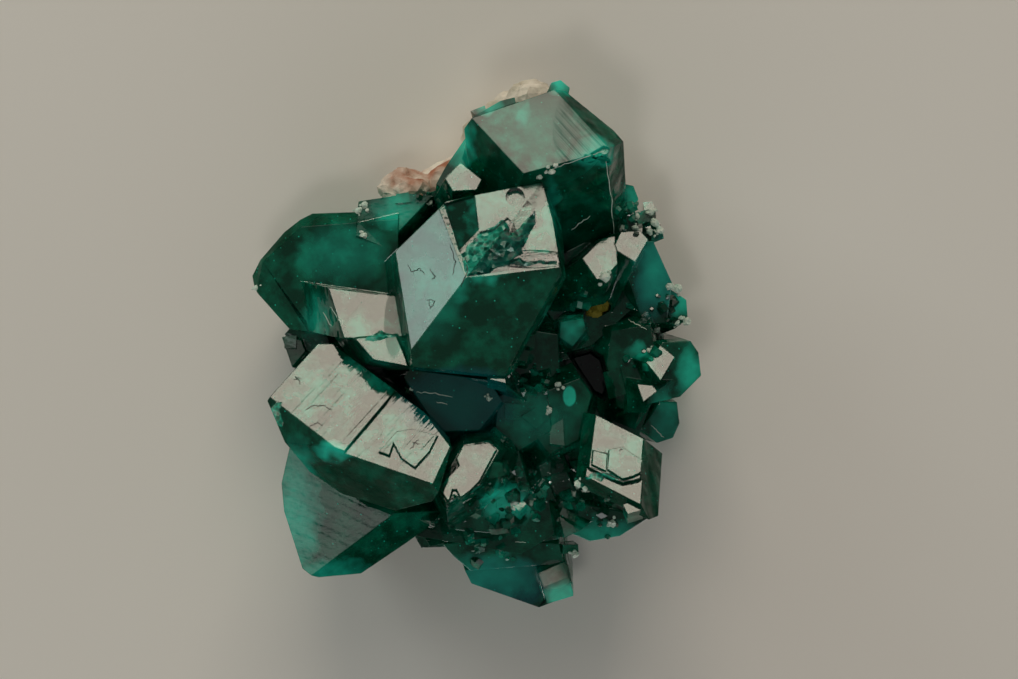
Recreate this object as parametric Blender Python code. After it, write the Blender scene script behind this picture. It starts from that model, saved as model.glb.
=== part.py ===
"""Dioptase: a cluster of intergrown green crystals on a remnant of pale calcite rock.

The cluster lies on its back, which is cut off flat where it grew from the rock, and its crystals
face upwards. Seen from straight above, +X is to the right and +Y towards the top crystal.
The origin is the middle of the box that holds the cluster, at the surface it lies on.
Lengths are in millimetres until a mesh is made, which is in metres.
"""
import math

import bmesh
import bpy
import numpy as np

MM = 0.001
MATRIX_GAP = 0.3            # clearance between the crystals and the rock they sit on
SPREAD = 1.7                # degrees that a small crystal leans outwards for each mm from the middle
ETCH = 0.3                  # depth of the etched hollow and of the growth steps
PLATE = 0.22                # height of a raised growth plate
BURIED = 0.6                # how far a plate reaches down into its crystal
PIT_MIDDLE = (2.78, 11.1)   # of the round pit on the centre crystal's right-hand face, in plan
PIT_RADIUS = 0.72
PIT_DEPTH = 0.25            # below the etched hollow
PIT_SIDES = 14
CAVITY_TOP = 15.0           # clear above the crystals around the dark cavity
CAVITY_FLOOR = 2.5
CAVITY_NARROWS = 0.6        # width of the cavity's floor as a share of its mouth
CUT_BELOW = 12.0            # how far the block that cuts the back flat reaches down
CUT_REACH = 30.0            # half the width of that block


def facing(azimuth, tilt):
    """Unit vector that leans from +Z by tilt degrees towards azimuth, measured from +X to +Y."""
    a, t = math.radians(azimuth), math.radians(tilt)
    return np.array([math.sin(t) * math.cos(a), math.sin(t) * math.sin(a), math.cos(t)])


class Crystal:
    """A crystal as the flat faces around it: each is an outward direction and its distance from 0.

    Points that name an edge are given in plan and run anticlockwise round their face, so that
    the crystal falls away on the right of the way from start to end.
    """

    def __init__(self, azimuth, tilt, point):
        self.faces = []
        self.add(facing(azimuth, tilt), point)

    def add(self, direction, point):
        self.faces.append((direction, float(direction @ np.array(point, float))))

    def on(self, face, x, y):
        """The point of a face above the plan position x, y."""
        direction, distance = self.faces[face]
        return np.array([x, y, (distance - direction[0] * x - direction[1] * y) / direction[2]])

    def edge(self, face, start, end):
        """A point of the edge, the face's direction, and the way out of the face across the edge."""
        a, b = self.on(face, *start), self.on(face, *end)
        along = (b - a) / np.linalg.norm(b - a)
        direction = self.faces[face][0]
        return a, direction, np.cross(along, direction)

    def turn(self, face, start, end, angle):
        """A face that meets another along an edge and turns away from it by angle degrees."""
        point, direction, out = self.edge(face, start, end)
        t = math.radians(angle)
        self.add(math.cos(t) * direction + math.sin(t) * out, point)

    def steep(self, face, start, end, tilt):
        """A face that falls from an edge and leans from +Z by tilt degrees."""
        point, direction, out = self.edge(face, start, end)
        turns = np.radians(np.arange(5, 176, 0.25))
        rise = np.cos(turns) * direction[2] + np.sin(turns) * out[2]
        t = turns[np.argmin(abs(rise - math.cos(math.radians(tilt))))]
        self.add(math.cos(t) * direction + math.sin(t) * out, point)

    def wall(self, start, end, height, tilt=90):
        """A face through a level line at a height."""
        x, y = end[0] - start[0], end[1] - start[1]
        azimuth = math.degrees(math.atan2(-x, y))
        self.add(facing(azimuth, tilt), (*start, height))

    def outline(self, points, height, tilt=90):
        """Walls along a line of plan points."""
        for start, end in zip(points, points[1:]):
            self.wall(start, end, height, tilt)

    def double(self, middle, faces=None):
        """The same faces again on the far side of the middle, as on any whole crystal."""
        middle = np.array(middle, float)
        for direction, distance in [self.faces[i] for i in faces or range(len(self.faces))]:
            self.faces.append((-direction, distance - 2 * float(direction @ middle)))

    def corners(self):
        """The points where three faces meet and no other face cuts them off."""
        directions = np.array([face[0] for face in self.faces])
        distances = np.array([face[1] for face in self.faces])
        count = len(self.faces)
        found = []
        for i in range(count):
            for j in range(i + 1, count):
                for k in range(j + 1, count):
                    three = directions[[i, j, k]]
                    if abs(np.linalg.det(three)) < 1e-5:
                        continue
                    point = np.linalg.solve(three, distances[[i, j, k]])
                    if (directions @ point <= distances + 1e-6).all():
                        found.append(point)
        return found


def link(mesh_data, name, collection):
    mesh = bpy.data.meshes.new(name)
    mesh_data.to_mesh(mesh)
    mesh_data.free()
    thing = bpy.data.objects.new(name, mesh)
    collection.objects.link(thing)
    return thing


def hull(points, name, collection):
    """A convex solid around points in millimetres."""
    shape = bmesh.new()
    for point in points:
        shape.verts.new([v * MM for v in point])
    bmesh.ops.remove_doubles(shape, verts=shape.verts, dist=0.002 * MM)
    bmesh.ops.convex_hull(shape, input=shape.verts)
    loose = [v for v in shape.verts if not v.link_faces]
    bmesh.ops.delete(shape, geom=loose, context="VERTS")
    bmesh.ops.dissolve_limit(shape, angle_limit=math.radians(0.2), verts=shape.verts, edges=shape.edges)
    bmesh.ops.recalc_face_normals(shape, faces=shape.faces)
    return link(shape, name, collection)


def slab(crystal, face, plan, below, above, name, collection):
    """A flat prism with an outline in plan, from below a crystal's face to above it."""
    direction = crystal.faces[face][0]
    foot = [crystal.on(face, *point) for point in plan]
    shape = bmesh.new()
    low = [shape.verts.new((point - below * direction) * MM) for point in foot]
    high = [shape.verts.new((point + above * direction) * MM) for point in foot]
    shape.faces.new(low[::-1])
    shape.faces.new(high)
    for i in range(len(low)):
        j = (i + 1) % len(low)
        shape.faces.new((low[i], low[j], high[j], high[i]))
    bmesh.ops.recalc_face_normals(shape, faces=shape.faces)
    return link(shape, name, collection)


def boolean(thing, operation, collection):
    cut = thing.modifiers.new(operation.lower(), "BOOLEAN")
    cut.operation = operation
    cut.operand_type = "COLLECTION"
    cut.collection = collection
    cut.solver = "EXACT"


def hidden_collection(name):
    group = bpy.data.collections.new(name)
    bpy.context.scene.collection.children.link(group)
    return group


def hide(collection):
    for thing in collection.objects:
        thing.hide_render = True
        thing.display_type = "WIRE"


def material(name, colour, roughness, transmission=0.0, ior=1.5):
    surface = bpy.data.materials.new(name)
    surface.use_nodes = True
    shader = surface.node_tree.nodes["Principled BSDF"]
    shader.inputs["Base Color"].default_value = (*colour, 1)
    shader.inputs["Roughness"].default_value = roughness
    shader.inputs["Metallic"].default_value = 0
    shader.inputs["Transmission Weight"].default_value = transmission
    shader.inputs["IOR"].default_value = ior
    return surface


for old in list(bpy.data.objects):
    bpy.data.objects.remove(old)

whole = bpy.context.scene.collection
grown = hidden_collection("grown")
plates = hidden_collection("plates")
hollows = hidden_collection("hollows")

# The top crystal: one broad face towards the viewer, a steep front, and two narrow right-hand faces
top = Crystal(101, 27, (3.4, 12.8, 16.0))
top.turn(0, (3.4, 12.8), (9.7, 14.5), 76)
top.turn(0, (9.7, 14.8), (5.8, 19.1), 48)
top.turn(0, (-0.5, 17.0), (3.4, 12.8), 64)
top.turn(0, (5.6, 19.1), (-0.5, 17.0), 88)
top.turn(1, (10.2, 8.3), (9.7, 14.0), 48)
top.steep(2, (10.9, 15.5), (6.6, 19.0), 118)
top.steep(5, (11.3, 9.0), (10.9, 15.5), 112)
top.steep(3, (-1.1, 16.5), (-0.6, 12.2), 118)
top.steep(1, (5.8, 6.2), (10.3, 8.0), 105)
top.double((5.2, 13.5, 8.6), [0])

# The centre crystal stands furthest forward: a left, a right and a lower face meet in its middle
centre = Crystal(140, 34, (-4.9, -0.3, 19.5))
centre.turn(0, (-4.9, -0.3), (-0.8, 5.1), 36)
centre.turn(0, (-2.4, 10.7), (-6.2, 7.0), 56)
centre.turn(0, (-6.2, 7.0), (-5.0, -0.3), 58)
centre.turn(1, (6.1, 5.8), (0.8, 5.2), 32)
centre.turn(4, (4.8, 12.2), (-0.2, 11.2), 62)
centre.steep(4, (6.1, 5.8), (4.8, 12.2), 84)
centre.steep(1, (2.0, -2.3), (5.9, 4.9), 78)
centre.turn(1, (-5.2, -1.6), (2.0, -2.3), 70)
centre.steep(2, (-3.4, 11.2), (-7.6, 7.2), 108)
centre.steep(3, (-7.6, 7.2), (-6.8, -1.5), 104)
centre.steep(8, (-5.5, -1.8), (2.0, -2.5), 110)
centre.steep(7, (2.4, -2.7), (6.3, 4.5), 106)
centre.double((-0.6, 4.5, 9.0), [0, 1, 4])

# The left crystal: a long bright face with growth steps, broken off at its left end
left = Crystal(95, 29, (-10.0, -7.9, 18.0))
left.turn(0, (-10.0, -7.9), (-3.6, -10.1), 78)
left.turn(0, (-6.1, -3.4), (-10.9, 0.1), 80)
left.turn(0, (-12.0, 0.1), (-16.5, -4.9), 84)
left.turn(0, (-3.6, -10.1), (-2.3, -7.3), 48)
left.turn(0, (-2.3, -7.3), (-5.0, -3.8), 66)
left.turn(0, (-15.2, -4.2), (-10.5, -7.8), 40)
left.steep(0, (-10.9, 0.1), (-12.3, 0.1), 100)
left.steep(6, (-16.5, -4.7), (-16.8, -6.6), 115)
left.steep(1, (-16.8, -6.6), (-12.6, -9.5), 122)
left.steep(1, (-12.6, -9.5), (-11.6, -10.7), 115)
left.steep(1, (-11.6, -10.7), (-6.2, -12.4), 118)
left.steep(1, (-6.2, -12.4), (-3.1, -11.6), 110)
left.steep(4, (-3.1, -11.6), (-2.1, -8.2), 100)
left.double((-9.6, -6.0, 9.0), [0, 1, 4])

# The lower left crystal, further back
low_left = Crystal(150, 20, (-6.2, -12.6, 12.0))
low_left.turn(0, (-12.6, -17.4), (-6.2, -12.6), 62)
low_left.turn(0, (-6.2, -12.6), (-11.1, -9.4), 50)
for start, end in (((-14.4, -8.6), (-14.8, -10.4)), ((-14.8, -10.4), (-14.6, -12.5)), ((-14.6, -12.5), (-13.2, -16.8)),
                   ((-13.2, -16.8), (-12.3, -17.5))):
    low_left.steep(0, start, end, 112)
for start, end in (((-12.3, -17.5), (-8.8, -17.2)), ((-8.8, -17.2), (-5.4, -14.9)), ((-5.4, -14.9), (-2.9, -13.1))):
    low_left.steep(1, start, end, 116)
low_left.double((-10.0, -12.8, 6.0), [0, 1])

# The lower right crystal, a short prism with growth steps on its bright face
low_right = Crystal(92, 28, (8.2, -9.7, 16.5))
low_right.turn(0, (8.2, -9.7), (11.9, -11.6), 76)
low_right.turn(0, (8.8, -5.2), (8.2, -9.7), 58)
low_right.turn(0, (12.4, -7.0), (8.8, -5.2), 74)
low_right.turn(0, (12.0, -11.6), (12.4, -7.0), 60)
low_right.steep(2, (7.9, -5.0), (7.3, -10.1), 104)
low_right.steep(1, (7.6, -11.6), (12.2, -13.3), 116)
low_right.steep(4, (12.2, -13.3), (13.5, -12.8), 110)
low_right.steep(4, (13.5, -12.8), (13.9, -7.1), 114)
low_right.double((10.5, -9.4, 8.6), [0, 1])

# The shoulder on the left, a blunt crystal whose front is ringed by narrow faces
shoulder = Crystal(158, 15, (-10.0, 9.4, 9.5))
for start, end, tilt in (((-9.4, 9.2), (-13.3, 8.9), 50), ((-13.3, 8.9), (-16.2, 6.2), 56),
                         ((-16.2, 6.2), (-16.5, 4.5), 60)):
    shoulder.steep(0, start, end, tilt)
shoulder.steep(1, (-9.4, 10.0), (-12.8, 9.9), 108)
shoulder.steep(2, (-12.8, 9.9), (-14.6, 8.5), 112)
shoulder.steep(2, (-14.6, 8.5), (-17.1, 5.6), 116)
shoulder.steep(3, (-17.1, 5.6), (-16.8, 4.1), 112)
shoulder.steep(0, (-16.8, 4.1), (-14.2, 1.2), 104)
shoulder.steep(0, (-14.2, 1.2), (-8.0, 0.4), 88)
shoulder.steep(0, (-6.0, 3.0), (-6.0, 8.0), 86)
shoulder.double((-11.0, 5.0, 5.4), [0])

# Crystals of the back, which the others grow from
back_lower = Crystal(60, 8, (1.0, -4.0, 7.5))
back_lower.outline([(-9.0, -9.0), (-5.0, -13.0), (3.0, -14.5), (9.5, -11.0), (12.5, -4.0), (10.0, 3.0)], 4, 104)
back_lower.outline([(10.0, 3.0), (3.0, 6.5), (-6.0, 5.0), (-10.5, -1.0), (-9.0, -9.0)], 4, 98)
back_lower.add(facing(0, 180), (0, 0, -1.0))
back_upper = Crystal(120, 10, (0.0, 8.0, 7.0))
back_upper.outline([(-11.0, 3.0), (-6.0, -2.0), (7.0, 0.0), (11.5, 4.0), (11.0, 10.5), (8.0, 15.5)], 4, 102)
back_upper.outline([(8.0, 15.5), (1.0, 15.0), (-6.0, 10.0), (-11.5, 8.0), (-11.0, 3.0)], 4, 106)
back_upper.add(facing(0, 180), (0, 0, -1.0))

for name, crystal in (("top", top), ("centre", centre), ("left", left), ("low_left", low_left),
                      ("low_right", low_right), ("shoulder", shoulder), ("back_lower", back_lower),
                      ("back_upper", back_upper)):
    hull(crystal.corners(), name, grown)


def small(name, outline, height, azimuth, lean, depth, sides=86):
    """A smaller crystal, known by its front face: the face's outline in plan, anticlockwise, its
    height at the first point and the way it leans. The sides lean from +Z by one tilt or by one
    each, and more on the outer side, because the crystals spread out from the middle of the back.
    The faces that look up are repeated, turned over, around a middle that lies depth further down.
    """
    count = len(outline)
    tilts = sides if isinstance(sides, (list, tuple)) else [sides] * count
    middle = np.mean(outline, axis=0)
    spread = SPREAD * middle
    crystal = Crystal(azimuth, lean, (*outline[0], height))
    for i in range(count):
        start, end = outline[i], outline[(i + 1) % count]
        run = np.array([end[1] - start[1], start[0] - end[0]])
        outwards = float(run @ spread) / float(np.linalg.norm(run))
        crystal.steep(0, start, end, tilts[i] + outwards)
    upward = [i for i, (direction, _) in enumerate(crystal.faces) if direction[2] > 0]
    crystal.double((*middle, height - depth), upward)
    hull(crystal.corners(), name, grown)
    return crystal


# Left side, between the top and the left crystal
small("left_block", [(-11.2, 4.3), (-10.0, 0.5), (-6.2, 0.7), (-7.5, 3.8)], 14.2, 90, 27, 5, [55, 80, 52, 86])
small("left_step", [(-9.2, 0.5), (-7.8, -1.1), (-5.2, -1.6), (-6.2, 0.8)], 16.6, 87, 27, 5, [70, 80, 80, 85])
small("left_tip", [(-14.8, 0.6), (-14.0, -1.7), (-13.0, -0.5), (-13.3, 0.4)], 7.5, 135, 16, 3)
small("left_dark", [(-14.6, 0.8), (-13.2, -0.5), (-11.1, 0.0), (-11.8, 2.0), (-13.8, 1.7)], 7.2, 162, 18, 3)
small("upper_left", [(-9.0, 10.8), (-9.2, 8.2), (-7.0, 7.4), (-3.4, 11.2), (-5.2, 11.4)], 9.5, 117, 13, 3.4)
small("bright_chip", [(-2.5, 12.5), (-1.9, 11.5), (-0.1, 11.6), (0.3, 12.4), (-1.3, 13.7)], 13.5, 90, 27, 5, 80)
small("top_left", [(-3.3, 12.2), (-2.1, 11.2), (0.1, 13.1), (-0.2, 16.1), (-1.0, 16.0), (-1.8, 14.6), (-2.4, 13.5)],
      8.5, 124, 20, 3)
small("top_edge", [(-0.5, 16.9), (0.3, 15.4), (3.2, 16.2), (2.7, 18.9), (2.0, 18.5), (1.2, 18.2), (0.0, 17.9)],
      12.9, 124, 20, 4)
small("top_nub", [(5.3, 18.5), (6.6, 18.4), (6.9, 19.3), (6.2, 19.9), (5.5, 19.7)], 12.4, 80, 12, 2.2)

# Right side, from the top down
small("right_top", [(10.7, 12.2), (10.5, 10.0), (11.6, 9.9), (12.1, 11.0), (11.7, 12.0)], 8.0, 18, 18, 3)
small("bright_left", [(7.8, 6.5), (8.9, 4.9), (9.4, 4.9), (10.5, 6.1), (10.3, 8.2), (9.3, 8.0)], 11.5, 90, 27, 6,
      [60, 70, 65, 80, 85, 85])
small("bright_right", [(10.3, 7.6), (10.5, 7.0), (11.8, 6.2), (12.8, 7.9), (12.2, 8.6), (10.7, 8.5)], 11.0, 90, 27, 6,
      [60, 60, 75, 85, 85, 80])
small("right_tall", [(12.2, 7.8), (11.2, 5.2), (12.5, 1.5), (14.2, 1.7), (14.6, 4.7), (13.2, 7.8)], 9.0, 11, 14, 4,
      [55, 75, 80, 84, 86, 86])
small("right_knob", [(14.5, 4.2), (14.1, 2.6), (14.8, 1.2), (15.8, 2.0), (15.7, 3.4)], 7.5, 45, 8, 2.5)
small("right_lobe", [(13.9, 0.2), (12.2, -1.9), (12.5, -4.5), (15.2, -3.9), (16.8, -2.3), (16.6, -0.6), (16.0, 0.3)],
      9.0, 27, 13, 3.4)
small("lobe_facet", [(13.7, 0.0), (12.6, -1.3), (13.7, -2.7), (14.8, -0.9)], 10.5, 90, 27, 5, 80)
small("lobe_chip", [(11.9, -2.9), (12.4, -4.3), (14.0, -3.1)], 10.5, 90, 27, 5, 75)
small("lobe_below", [(13.7, -4.3), (12.2, -6.4), (13.5, -7.4), (14.7, -7.0), (15.2, -5.9), (15.0, -4.3)], 6.6, 0, 9,
      2.6)
small("right_body", [(10.0, 1.1), (9.6, -1.5), (10.5, -4.7), (12.2, -5.2), (13.7, -2.6), (12.9, 1.5)], 9.5, 207, 13, 5,
      65)

# Around the dark cavity
small("cavity_tooth", [(6.2, 1.7), (6.1, 0.6), (7.1, -0.1), (8.1, 1.1), (7.9, 2.0)], 11.0, 297, 13, 4, 75)
small("cavity_back", [(4.6, 3.4), (6.1, 1.1), (9.2, 2.6), (9.9, 4.1), (7.6, 5.6)], 8.5, 45, 8, 5, 75)
small("cavity_left", [(2.5, -2.2), (4.6, -3.4), (6.1, -1.9), (6.0, 0.8), (4.0, 1.1)], 11.0, 315, 8, 5, 75)
small("cavity_right", [(9.2, 4.9), (10.0, 1.5), (12.9, 1.5), (13.3, 3.4), (12.2, 6.2)], 8.5, 315, 8, 5, 75)
small("cavity_top", [(5.0, 6.2), (6.5, 3.4), (9.2, 5.2), (8.4, 7.9)], 9.0, 315, 8, 5, 75)

# Lower middle
plate_base = small("plate_base", [(-1.1, -7.4), (-3.0, -10.7), (-2.4, -11.8), (0.1, -10.5), (1.6, -7.9), (0.9, -7.1)],
                   15.3, 90, 27, 5, [85, 75, 60, 60, 80, 85])
small("flat_blue", [(-6.0, -1.7), (-2.9, -6.5), (0.1, -6.4), (2.8, -2.9)], 15.0, 304, 10, 5, [80, 75, 75, 85])
small("blue_chip", [(0.5, -2.6), (2.2, -3.1), (1.9, -2.2)], 16.0, 90, 27, 4, 75)
small("glowing", [(5.0, -3.5), (3.9, -6.4), (5.4, -8.2), (7.6, -7.1), (8.5, -3.8), (7.6, -2.5)], 12.0, 45, 8, 5, 70)
small("middle_green", [(1.6, -3.8), (1.3, -6.4), (3.1, -7.9), (5.5, -6.4), (5.0, -3.0)], 13.0, 315, 8, 6, 70)
small("lower_green", [(-2.1, -8.6), (-1.7, -13.9), (1.6, -14.2), (3.9, -10.9), (2.8, -7.1)], 12.0, 270, 14, 6, 75)
small("lower_dark", [(1.6, -9.4), (0.9, -12.4), (2.4, -15.4), (6.1, -14.6), (7.6, -11.6), (6.1, -8.2)], 8.5, 270, 6, 5,
      75)
small("under_right", [(6.1, -11.6), (6.3, -13.9), (8.4, -14.8), (10.7, -14.4), (12.7, -13.1), (10.7, -12.5)], 9.0,
      270, 17, 3.2)
small("grey_chip", [(6.1, -12.9), (6.5, -14.5), (7.8, -13.9)], 9.8, 90, 17, 3, 75)
small("gap_chip", [(-4.5, -13.7), (-3.6, -15.2), (-2.2, -14.8), (-3.0, -12.8)], 8.5, 90, 17, 3.4, 82)
small("gap_dark", [(-5.5, -13.1), (-4.3, -15.3), (-1.3, -15.2), (-1.7, -11.6)], 7.5, 270, 17, 3.4)
small("bottom_bar", [(-2.7, -15.0), (-1.8, -16.0), (-0.6, -17.0), (6.5, -16.5), (6.1, -15.0), (1.6, -14.6)], 7.5, 270,
      17, 3.4)
small("bottom", [(-1.0, -17.0), (-0.5, -18.0), (4.6, -19.8), (7.2, -18.8), (6.6, -16.0), (1.6, -16.3)], 6.8, 297, 6,
      2.6)
small("bottom_facet", [(4.5, -17.2), (5.2, -19.5), (7.2, -18.9), (6.6, -16.3)], 7.5, 90, 19, 2.6)

# Growth steps and plates, which stand a fraction of a millimetre proud of their faces
slab(left, 0, [(-6.3, -7.3), (-5.7, -8.4), (-4.7, -9.1), (-3.6, -7.9), (-3.0, -6.7), (-4.9, -6.2), (-6.1, -6.4),
               (-7.4, -7.9), (-6.6, -8.2)][::-1], BURIED, PLATE - ETCH, "step_plate", plates)
slab(plate_base, 0, [(-1.1, -7.6), (-1.6, -8.6), (-1.4, -9.1), (-2.9, -10.7), (-2.3, -11.7), (-2.1, -11.6),
                     (-1.9, -10.9), (-1.6, -10.9), (-1.3, -11.5), (-0.6, -11.0), (0.1, -10.3), (1.4, -7.9),
                     (0.9, -7.4)], BURIED, PLATE, "bright_plate", plates)
slab(low_right, 0, [(8.6, -7.9), (8.5, -9.0), (9.6, -9.5), (9.7, -8.2)], BURIED, PLATE * 0.6, "terrace_left", plates)
slab(low_right, 0, [(9.8, -7.9), (9.7, -9.4), (10.8, -10.1), (11.6, -9.9), (12.2, -9.6), (12.3, -8.7), (10.8, -7.7)],
     BURIED, PLATE, "terrace_right", plates)

# Where growth or etching left a face lower, and a chipped corner
slab(left, 0, [(-6.0, -3.2), (-10.2, -8.2), (-3.4, -10.6), (-1.6, -7.2), (-5.0, -2.8)], ETCH, BURIED, "lower_step",
     hollows)
slab(centre, 4, [(-2.4, 10.6), (-1.4, 7.1), (-0.6, 5.8), (6.0, 6.2), (5.8, 6.9), (3.7, 6.8), (3.5, 7.6), (4.5, 8.6),
                 (4.2, 10.2), (3.1, 8.0), (2.2, 8.0), (2.6, 9.2), (2.2, 9.6), (1.2, 8.7), (0.1, 8.5), (-0.3, 11.2)],
     ETCH, BURIED, "etched_hollow", hollows)
slab(low_right, 0, [(8.0, -9.0), (9.6, -9.8), (10.8, -10.3), (11.7, -10.1), (12.6, -9.8), (12.4, -12.2), (7.9, -10.4)],
     ETCH, BURIED, "lower_ledge", hollows)
slab(top, 0, [(8.4, 14.3), (9.4, 14.0), (10.2, 14.6), (9.4, 14.9)], ETCH, BURIED, "corner_chip", hollows)
turns = np.arange(PIT_SIDES) * 2 * math.pi / PIT_SIDES
rim = [(PIT_MIDDLE[0] + PIT_RADIUS * math.cos(turn), PIT_MIDDLE[1] + PIT_RADIUS * math.sin(turn)) for turn in turns]
slab(centre, 4, rim, ETCH + PIT_DEPTH, BURIED, "round_pit", hollows)

# The dark cavity right of the middle, which narrows towards its floor
mouth = np.array([(6.15, -0.2), (7.05, -1.7), (8.85, -4.4), (9.9, -4.9), (10.5, -3.5), (9.6, -0.5), (8.4, 0.4)])
cavity_floor = CAVITY_NARROWS * mouth + (1 - CAVITY_NARROWS) * mouth.mean(axis=0)
hull([(*point, CAVITY_TOP) for point in mouth] + [(*point, CAVITY_FLOOR) for point in cavity_floor], "cavity", hollows)


# Pale rock behind the crystals: lumps at the top left and at the top, and an ochre tongue in the cavity
LUMPS = (
    # middle, half sizes, turn of the bumps
    ((-5.2, 11.6, 3.4), (2.2, 1.7, 2.6), 0.4),
    ((-0.4, 11.4, 2.2), (4.2, 3.2, 3.0), 1.7),
    ((4.0, 18.0, 4.4), (2.2, 2.0, 2.6), 2.9),
    ((2.5, 14.5, 2.2), (4.0, 4.5, 3.0), 4.1),
    ((5.5, 9.0, 1.6), (5.0, 5.5, 2.8), 5.2),
    ((8.6, 4.2, 2.6), (2.6, 3.2, 3.6), 0.9),
    ((8.9, 2.9, 6.6), (1.4, 1.1, 2.2), 2.2),
)
BUMP = 0.10                 # height of the rock's bumps, as a share of its radius


def lump(middle, half, turn, grow, name, collection):
    """An uneven lump of rock: a sphere of flat faces, swollen by slow waves and made larger by grow."""
    shape = bmesh.new()
    bmesh.ops.create_icosphere(shape, subdivisions=3, radius=1.0)
    for corner in shape.verts:
        x, y, z = corner.co
        wave = math.sin(5.1 * x + turn) * math.sin(4.3 * y + 2 * turn) + math.sin(6.7 * z + 3 * turn + 2.0 * x)
        swell = 1 + BUMP * wave
        corner.co = [(m + axis * (h * swell + grow)) * MM for m, axis, h in zip(middle, (x, y, z), half)]
    return link(shape, name, collection)


rock = hidden_collection("rock")
room = hidden_collection("room")
for i, (middle, half, turn) in enumerate(LUMPS):
    lump(middle, half, turn, 0.0, f"rock_{i}", rock)
    lump(middle, half, turn, MATRIX_GAP, f"room_{i}", room)

block = hidden_collection("block")
block_corners = [(x * CUT_REACH, y * CUT_REACH, z) for x in (-1, 1) for y in (-1, 1) for z in (0, -CUT_BELOW)]
hull(block_corners, "floor_block", block)


def largest_body(thing):
    """Apply the modifiers and drop the crumbs that a cut has left loose."""
    evaluated = thing.evaluated_get(bpy.context.evaluated_depsgraph_get())
    shape = bmesh.new()
    shape.from_mesh(evaluated.to_mesh())
    bodies = []
    waiting = set(shape.verts)
    while waiting:
        body = [waiting.pop()]
        for corner in body:
            near = {edge.other_vert(corner) for edge in corner.link_edges} & waiting
            waiting -= near
            body.extend(near)
        bodies.append(body)
    bodies.sort(key=len)
    crumbs = [corner for body in bodies[:-1] for corner in body]
    bmesh.ops.delete(shape, geom=crumbs, context="VERTS")
    thing.modifiers.clear()
    shape.to_mesh(thing.data)
    shape.free()


def joined(name, group, steps, surface):
    """One solid from all the solids in a group, then changed by each further group in turn."""
    first = group.objects[0]
    solid = bpy.data.objects.new(name, first.data.copy())
    whole.objects.link(solid)
    bpy.data.objects.remove(first)
    boolean(solid, "UNION", group)
    for operation, others in steps:
        boolean(solid, operation, others)
    largest_body(solid)
    solid.data.materials.clear()
    solid.data.materials.append(surface)
    return solid


joined("dioptase_crystals", grown,
       [("DIFFERENCE", hollows), ("UNION", plates), ("DIFFERENCE", room), ("DIFFERENCE", block)],
       material("dioptase", (0.0, 0.16, 0.10), 0.08, 0.6, 1.66))
joined("calcite_matrix", rock, [("DIFFERENCE", block)], material("calcite", (0.70, 0.48, 0.36), 0.8))

for group in (grown, plates, hollows, rock, room, block):
    hide(group)
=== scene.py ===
"""Dioptase: a cluster of deep green crystals, lying on its cut back and seen from straight above."""
import math

import bmesh
import bpy
import numpy as np
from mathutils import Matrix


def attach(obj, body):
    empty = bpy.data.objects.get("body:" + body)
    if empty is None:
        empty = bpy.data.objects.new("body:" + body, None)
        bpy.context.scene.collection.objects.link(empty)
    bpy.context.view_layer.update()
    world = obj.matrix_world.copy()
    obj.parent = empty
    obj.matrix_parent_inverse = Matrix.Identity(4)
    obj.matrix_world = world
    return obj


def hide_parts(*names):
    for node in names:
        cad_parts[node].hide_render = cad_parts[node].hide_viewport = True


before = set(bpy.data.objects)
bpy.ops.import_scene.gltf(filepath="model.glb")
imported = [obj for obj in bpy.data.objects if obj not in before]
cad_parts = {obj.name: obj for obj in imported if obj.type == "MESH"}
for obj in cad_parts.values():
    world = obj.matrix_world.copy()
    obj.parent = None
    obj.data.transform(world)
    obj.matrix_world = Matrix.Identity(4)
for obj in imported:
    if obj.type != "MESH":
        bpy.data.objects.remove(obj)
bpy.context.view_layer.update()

# The crystals: dioptase, a copper silicate that grows as stubby prisms with slanting end faces.
# They grew into each other, so they are one solid. The faces are natural and glassy, the body is
# clear but so strongly green that only thin edges and the parts near a fracture glow turquoise; that glow is
# painted into the body's colour.
MM = 0.001


def linear(hex_colour):
    """The linear red, green and blue of an sRGB hex colour."""
    parts = np.array([int(hex_colour[i:i + 2], 16) for i in (1, 3, 5)]) / 255
    return tuple(np.where(parts <= 0.04045, parts / 12.92, ((parts + 0.055) / 1.055) ** 2.4)) + (1.0,)


def add(tree, kind, feeds=None, **settings):
    """Add a node with its settings. feeds gives each input a value or the socket that feeds it."""
    node = tree.nodes.new(kind)
    for name, value in settings.items():
        setattr(node, name, value)
    for name, value in (feeds or {}).items():
        if isinstance(value, bpy.types.NodeSocket):
            tree.links.new(value, node.inputs[name])
        else:
            node.inputs[name].default_value = value
    return node


def facing(azimuth, tilt):
    """The direction that leans from straight up by tilt degrees towards azimuth."""
    a, t = math.radians(azimuth), math.radians(tilt)
    return (math.sin(t) * math.cos(a), math.sin(t) * math.sin(a), math.cos(t))


def joined(tree, operation, *values):
    """The values taken together, two by two, by one operation: MULTIPLY, ADD, MAXIMUM or MINIMUM."""
    result = values[0]
    for value in values[1:]:
        result = add(tree, "ShaderNodeMath", {0: result, 1: value}, operation=operation).outputs[0]
    return result


def zones(tree, place, spots, soft):
    """The strongest of some oval zones in plan: middle x, y and half sizes in mm, and strength.

    Each is strength (1 - d squared) / soft, where d is 1 at its edge, held between 0 and 1.
    """
    strengths = []
    for x, y, wide, high, strength in spots:
        away = add(tree, "ShaderNodeVectorMath",
                   {0: place, 1: (1 / (wide * MM), 1 / (high * MM), 0), 2: (-x / wide, -y / high, 0)},
                   operation="MULTIPLY_ADD").outputs[0]
        squared = add(tree, "ShaderNodeVectorMath", {0: away, 1: away},
                      operation="DOT_PRODUCT").outputs["Value"]
        strengths.append(add(tree, "ShaderNodeMath", {0: squared, 1: -strength / soft, 2: strength / soft},
                             operation="MULTIPLY_ADD").outputs[0])
    return add(tree, "ShaderNodeClamp", {"Value": joined(tree, "MAXIMUM", *strengths)}).outputs[0]


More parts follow.
